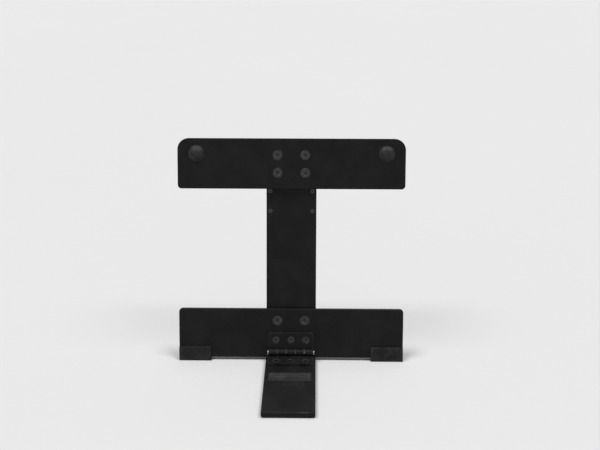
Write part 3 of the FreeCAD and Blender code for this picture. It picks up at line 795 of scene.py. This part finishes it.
def foot_shoe(side):
    """Rubber U edging pushed on the lower bar's corner, cut flat on the table, with grip ribs."""
    wall = 1.3
    top = 9.0
    length = 26.0
    rounding = 0.22
    sharper_than = 50
    rib_count = 9
    rib_step = 2.7
    rib_middle = 3.7

    def table_slope(depth):
        """Height of the table up the slope of the back, at a depth behind the bar's face."""
        return (-BACK_FOOT.z / MM + depth * math.sin(LEAN)) / math.cos(LEAN)

    front = -FIT_GAP - wall
    rear = BAR_THICK + FIT_GAP + wall
    outline = [(-FIT_GAP, top - 0.1), (-FIT_GAP - wall * 0.5, top),
               (front + 0.15, top - 0.45), (front, top - 1.1),
               (front, table_slope(front) + 0.55), (front + 0.4, table_slope(front + 0.4)),
               (rear - 0.4, table_slope(rear - 0.4)), (rear, table_slope(rear) + 0.55),
               (rear, top - 1.1), (rear - 0.15, top - 0.45), (rear - wall * 0.5, top),
               (BAR_THICK + FIT_GAP, top - 0.1), (BAR_THICK + FIT_GAP, -FIT_GAP), (-FIT_GAP, -FIT_GAP)]
    ends = (HALF_WIDTH - length, HALF_WIDTH)
    loops = [[(side * x, depth, slope) for depth, slope in outline] for x in ends]
    body = softened(loft("shoe_body", loops), rounding, sharper_than)
    middle = side * (HALF_WIDTH - length / 2)
    rib = grip_rib(length=6.4, width=1.1, proud=0.32, buried=0.3)
    ribs = set_out(rib, FOOT_RUBBER, columns=rib_count, column_step=(rib_step, 0, 0))
    fore = ribs.copy()
    fore.transform(Matrix.Translation((middle, front, rib_middle)))
    ribs.transform(Matrix.Translation((middle, rear, rib_middle)) @ Matrix.Rotation(math.pi, 4, "Z"))
    word = side_name(side)
    name = word + "_ribbed_shoe"
    mesh = joined(name, [body, fore, ribs])
    piece(name, mesh, BACK_PLACE, FOOT_RUBBER, "rubber_foot", "back", word + "_foot_shoe")


def strut_boot():
    """Rubber boot on the strut's foot: moulded bands, a rolled lip and a sole cut flat on the table."""
    half_x = 16.5
    half_y = 3.0
    pocket_x = 15.1
    pocket_y = 1.6
    foot = -128.237
    rim = foot + 13.0
    band_count = 5
    band_step = 2.05
    first_band = foot + 1.3
    # Height in a band, and how far its groove goes in.
    band_outline = ((0.0, 0.0), (1.15, 0.0), (1.3, 0.28), (1.85, 0.28), (2.0, 0.0))

    def on_table(lift):
        """Plane of the table, lifted a little, in the leaning frame of the strut."""
        return lambda x, y: (-(STRUT_PIN.z / MM - lift) - y * math.sin(SPREAD)) / math.cos(SPREAD)

    loops = [rounded_loop(half_x - 0.55, half_y - 0.55, 0.8, on_table(0.0)),
             rounded_loop(half_x - 0.15, half_y - 0.15, 1.0, on_table(0.2)),
             rounded_loop(half_x, half_y, 1.1, on_table(0.75))]
    for i in range(band_count):
        start = first_band + i * band_step
        for step, inset in band_outline:
            loops.append(rounded_loop(half_x - inset, half_y - inset, 1.1, start + step))
    loops += [rounded_loop(half_x, half_y, 1.1, rim - 0.7),
              rounded_loop(half_x - 0.2, half_y - 0.2, 1.0, rim - 0.2),
              rounded_loop(half_x - 0.65, half_y - 0.6, 0.9, rim),
              rounded_loop(pocket_x + 0.25, pocket_y + 0.25, 0.7, rim - 0.05),
              rounded_loop(pocket_x, pocket_y, 0.6, rim - 0.5),
              rounded_loop(pocket_x, pocket_y, 0.6, foot - 0.1)]
    mesh = loft("strut_boot", loops)
    piece("banded_strut_boot", mesh, STRUT_PLACE, FOOT_RUBBER, "rubber_foot", "strut", "strut_foot_cap")


def top_bumper(side):
    """Silicone bumper: a dome on a thin flange, a stem through the bar and a button behind it."""
    stem = 2.4
    from_end = 15.0
    from_top = 12.0
    dome_steps = 14
    seat = FIT_GAP
    rear = -BAR_THICK - FIT_GAP
    outline = dome_outline(6.15, 2.85, seat + 0.35, dome_steps)
    outline[0] = (0.0, outline[0][1])
    outline += [(6.35, seat + 0.32), (6.5, seat + 0.2), (6.45, seat), (stem, seat), (stem, rear),
                (3.95, rear), (4.0, rear - 0.55), (3.5, rear - 1.0),
                (1.1, rear - 1.0), (0.9, rear - 0.7), (0.0, rear - 0.7)]
    mesh = turned("bumper", outline, BUMPER_TURNS)
    mesh.transform(Matrix.Translation((side * (HALF_WIDTH - from_end), 0, BACK_HEIGHT - from_top))
                   @ Matrix.Rotation(math.pi / 2, 4, "X"))
    word = side_name(side)
    name = word + "_domed_bumper"
    piece(name, mesh, BACK_PLACE, BLACK_SILICONE, "silicone", "back", word + "_top_bumper")


def rim_strip():
    """Silicone strip let into the tongue: a channel for the plate's rim, and fine ribs behind it."""
    half_length = 16.4
    base = TONGUE_TOP - 1.3
    top = TONGUE_TOP + 0.5
    front = RIM_LINE - 2.9
    rear = RIM_LINE + 8.9
    channel = 1.64
    channel_depth = 0.35
    channel_steps = 8
    rib_count = 6
    rib_step = 1.05
    first_rib = RIM_LINE + 2.05
    groove = top - 0.26
    rounding = 0.12
    sharper_than = 40
    outline = [(front, base), (front, top - 0.25), (RIM_LINE - 2.6, top - 0.02)]
    for i in range(channel_steps + 1):
        y = -channel + 2 * channel * i / channel_steps
        outline.append((RIM_LINE + y, top - channel_depth * (1 - (y / channel) ** 2)))
    for i in range(rib_count):
        start = first_rib + i * rib_step
        outline += [(start, top), (start + rib_step * 0.45, top), (start + rib_step * 0.6, groove),
                    (start + rib_step * 0.85, groove)]
    outline += [(RIM_LINE + 8.55, top - 0.02), (rear, top - 0.3), (rear, base)]
    loops = [[(x, y, z) for y, z in outline] for x in (-half_length, half_length)]
    mesh = softened(loft("rim_strip", loops), rounding, sharper_than)
    piece("ribbed_rim_strip", mesh, TABLE_PLACE, BLACK_SILICONE, "silicone", "tongue", "rim_strip")


def tongue_pads():
    """Four thin rubber discs let into the tongue's underside, with ringed soles."""
    across = 25.0
    along = 55.65
    front_row = RIM_LINE - 41.5
    groove = 0.14
    outline = [(0.0, 1.1), (4.3, 1.1), (4.5, 0.95), (4.5, 0.12), (4.38, 0.0)]
    for radius in (3.7, 2.6, 1.5):
        outline += [(radius + 0.25, 0.0), (radius + 0.15, groove),
                    (radius - 0.15, groove), (radius - 0.25, 0.0)]
    outline.append((0.0, 0.0))
    mesh = set_out(turned("pad", outline, PAD_TURNS), FOOT_RUBBER, columns=2, column_step=(across, 0, 0),
                   rows=2, row_step=(0, along, 0))
    mesh.transform(Matrix.Translation((0, front_row + along / 2, 0)))
    piece("ringed_tongue_pads", mesh, TABLE_PLACE, FOOT_RUBBER, "rubber_foot", "tongue", "tongue_pads")


add_bar_screws()
add_leaf_screws()
add_bracket_rivets()
foot_shoe(-1)
foot_shoe(1)
strut_boot()
top_bumper(-1)
top_bumper(1)
rim_strip()
tongue_pads()


# ---------------------------------------------------------------- table, light and camera
FLOOR_REACH = 8.0
FLOOR_GREYS = ((0.79, 0.79, 0.785), (0.82, 0.82, 0.82))
STUDIO_GREY = (0.15, 0.15, 0.153)
BACKDROP_GREY = (0.78, 0.78, 0.78)
# Name, degrees round from the viewer, degrees up, strength, width in degrees.
LAMPS = (("left_light", -68, 66, 1.45, 28),
         ("right_light", 72, 64, 1.2, 28),
         ("back_light", 168, 62, 0.35, 40))
LENS_MM = 60.0
SENSOR_MM = 36.0
NEAR_CLIP = 0.01
CAMERA_PLACE_MM = (18.7, -723.2, 387.1)
CAMERA_DOWN = 20.5
CAMERA_LEFT = 0.9


def pale_floor():
    mesh = bpy.data.meshes.new("floor")
    corners = [(x * FLOOR_REACH, y * FLOOR_REACH, 0) for x, y in ((-1, -1), (1, -1), (1, 1), (-1, 1))]
    mesh.from_pydata(corners, [], [(0, 1, 2, 3)])
    material, tree, shader = finish_shell("pale_floor", {"Specular IOR Level": 0.2, "Roughness": 0.75})
    cloud = noise(tree, object_place(tree), 1.5, detail=3.0)
    tree.links.new(tint(tree, *FLOOR_GREYS, cloud), shader.inputs["Base Color"])
    mesh.materials.append(material)
    floor = bpy.data.objects.new("floor", mesh)
    bpy.context.scene.collection.objects.link(floor)


def soft_sun(name, azimuth, height, energy, width):
    """Broad distant light; azimuth 0 is over the viewer's shoulder and grows to the right."""
    lamp = bpy.data.lights.new(name, "SUN")
    lamp.energy = energy
    lamp.angle = math.radians(width)
    thing = bpy.data.objects.new(name, lamp)
    a = math.radians(azimuth)
    h = math.radians(height)
    towards = Vector((math.sin(a) * math.cos(h), -math.cos(a) * math.cos(h), math.sin(h)))
    thing.rotation_euler = towards.to_track_quat("Z", "Y").to_euler()
    bpy.context.scene.collection.objects.link(thing)


def studio():
    """Dim even light from all round, a pale backdrop that the eye, metal and glass see, and the lamps."""
    scene = bpy.context.scene
    world = bpy.data.worlds.new("studio")
    world.use_nodes = True
    sky = world.node_tree
    seen = add(sky, "ShaderNodeLightPath").outputs
    shown = maths(sky, "ADD", seen["Is Glossy Ray"], seen["Is Transmission Ray"])
    shown = maths(sky, "ADD", seen["Is Camera Ray"], shown, clamp=True)
    backdrop = tint(sky, STUDIO_GREY, BACKDROP_GREY, shown)
    sky.links.new(backdrop, sky.nodes["Background"].inputs["Color"])
    scene.world = world
    for lamp in LAMPS:
        soft_sun(*lamp)
    scene.view_settings.view_transform = "Standard"


def stand_camera():
    """Sixty millimetre lens a little above the stand, looking down at the tongue."""
    lens = bpy.data.cameras.new("camera")
    lens.lens = LENS_MM
    lens.sensor_width = SENSOR_MM
    lens.clip_start = NEAR_CLIP
    camera = bpy.data.objects.new("camera", lens)
    camera.location = Vector(CAMERA_PLACE_MM) * MM
    camera.rotation_euler = (math.radians(UPRIGHT - CAMERA_DOWN), 0.0, math.radians(CAMERA_LEFT))
    bpy.context.scene.collection.objects.link(camera)
    bpy.context.scene.camera = camera


pale_floor()
studio()
stand_camera()
